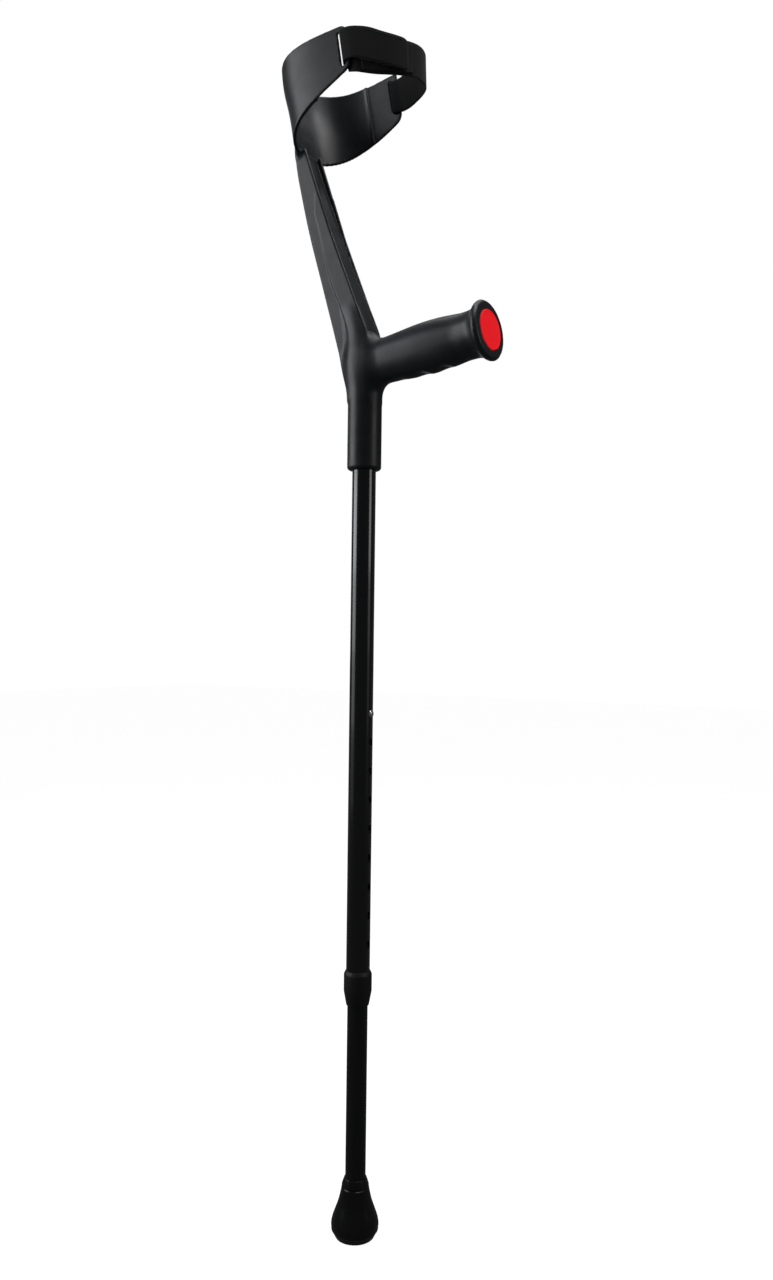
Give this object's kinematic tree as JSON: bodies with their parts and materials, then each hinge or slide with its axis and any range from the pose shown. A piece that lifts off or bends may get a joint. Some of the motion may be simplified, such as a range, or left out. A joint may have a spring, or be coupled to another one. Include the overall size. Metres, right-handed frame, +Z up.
{
  "type": "forearm crutch",
  "caption": "Forearm crutch: closed cuff strap and angled hand grip on a one-piece moulding, two-piece telescopic shaft with a snap button, and a bulb-shaped rubber ferrule.",
  "frame": {"origin": "centre of the ferrule's flat base, on the shaft's axis", "axes": "+Z up the shaft, +X along the hand grip away from the shaft, +Y to the side"},
  "size_m": [0.2108, 0.0942, 1.0468],
  "materials": {
    "moulded_plastic": "satin, fine moulded texture",
    "red_plastic": "smooth, slight gloss",
    "tube_black": "gloss black coat",
    "inner_tube_black": "semi-matt black coat",
    "steel_bright": "bright zinc",
    "spring_steel": "blued",
    "collar_plastic": "semi-matt",
    "bush_plastic": "matt",
    "rubber_black": "semi-matt rubber",
    "webbing_black": "woven",
    "loop_pile": "brushed loop pile",
    "hook_pad": "moulded hooks",
    "thread_black": "sewing thread"
  },
  "bodies": {
    "upper_frame": {"upper_moulding": "moulded_plastic", "grip_end_cap": "red_plastic", "outer_tube": "tube_black", "sleeve_rivet": "steel_bright", "bottom_collar": "collar_plastic", "strap_webbing": "webbing_black", "loop_patch": "loop_pile", "strap_end_stitches": "thread_black"},
    "lower_leg": {"inner_tube": "inner_tube_black", "tube_guide_bush": "bush_plastic", "button_spring": "spring_steel", "ferrule": "rubber_black", "ferrule_disc": "steel_bright"},
    "button": {"snap_button": "steel_bright"},
    "tail": {"strap_tail": "webbing_black", "hook_patch": "hook_pad", "tail_stitches": "thread_black"}
  },
  "joints": [
    {"name": "height_slide", "type": "slide", "parent": "upper_frame", "child": "lower_leg", "axis": [0, 0, -1], "range_m": [0, 0.2032], "deforming": ["snap_button"]},
    {"name": "button_press", "type": "slide", "parent": "lower_leg", "child": "button", "axis": [-1, 0, 0], "range_m": [0, 0.004], "stiffness_N_per_m": 1500, "springref_m": -0.001, "deforming": ["button_spring"]},
    {"name": "tail_peel", "type": "hinge", "parent": "upper_frame", "child": "tail", "pos_m": [0.0062, -0.04635, 1.026], "axis": [0.1736, 0, -0.9848], "range_deg": [0, 100]}
  ]
}
